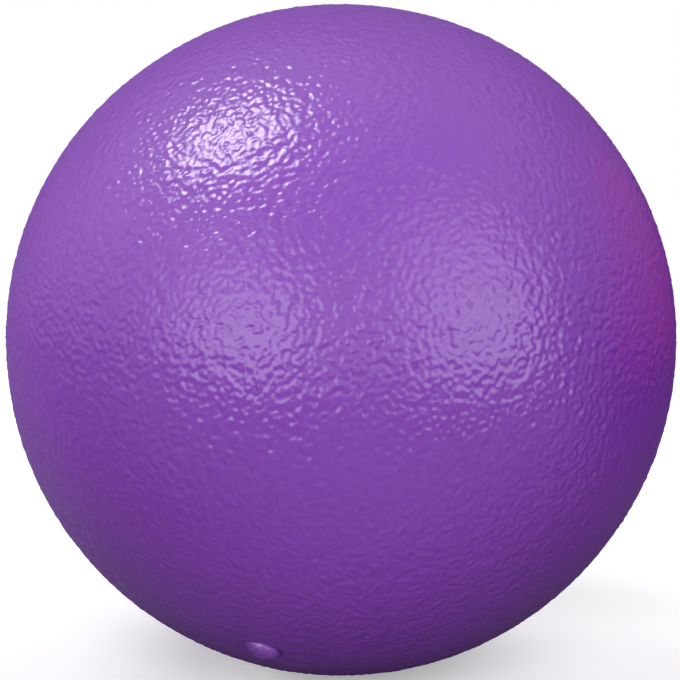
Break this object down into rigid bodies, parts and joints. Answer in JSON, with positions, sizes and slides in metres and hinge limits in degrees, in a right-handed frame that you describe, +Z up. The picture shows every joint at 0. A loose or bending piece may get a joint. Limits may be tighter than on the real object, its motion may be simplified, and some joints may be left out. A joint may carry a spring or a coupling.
{
  "type": "foam ball",
  "caption": "Soft round play ball: a foam core under a pebbled sprayed elastomer skin, with a small raised drop in a shallow dish where the spraying hole was sealed.",
  "frame": {"origin": "centre of the ball", "axes": "+Z up from the patch that the ball rests on, -Y towards the side with the navel, +X to the right seen from there"},
  "size_m": [0.1598, 0.16, 0.1594],
  "materials": {
    "foam": "matte",
    "coating": "satin",
    "plug": "satin"
  },
  "bodies": {
    "root": {"foam_core": "foam", "skin": "coating", "seal_plug": "plug"}
  },
  "joints": []
}
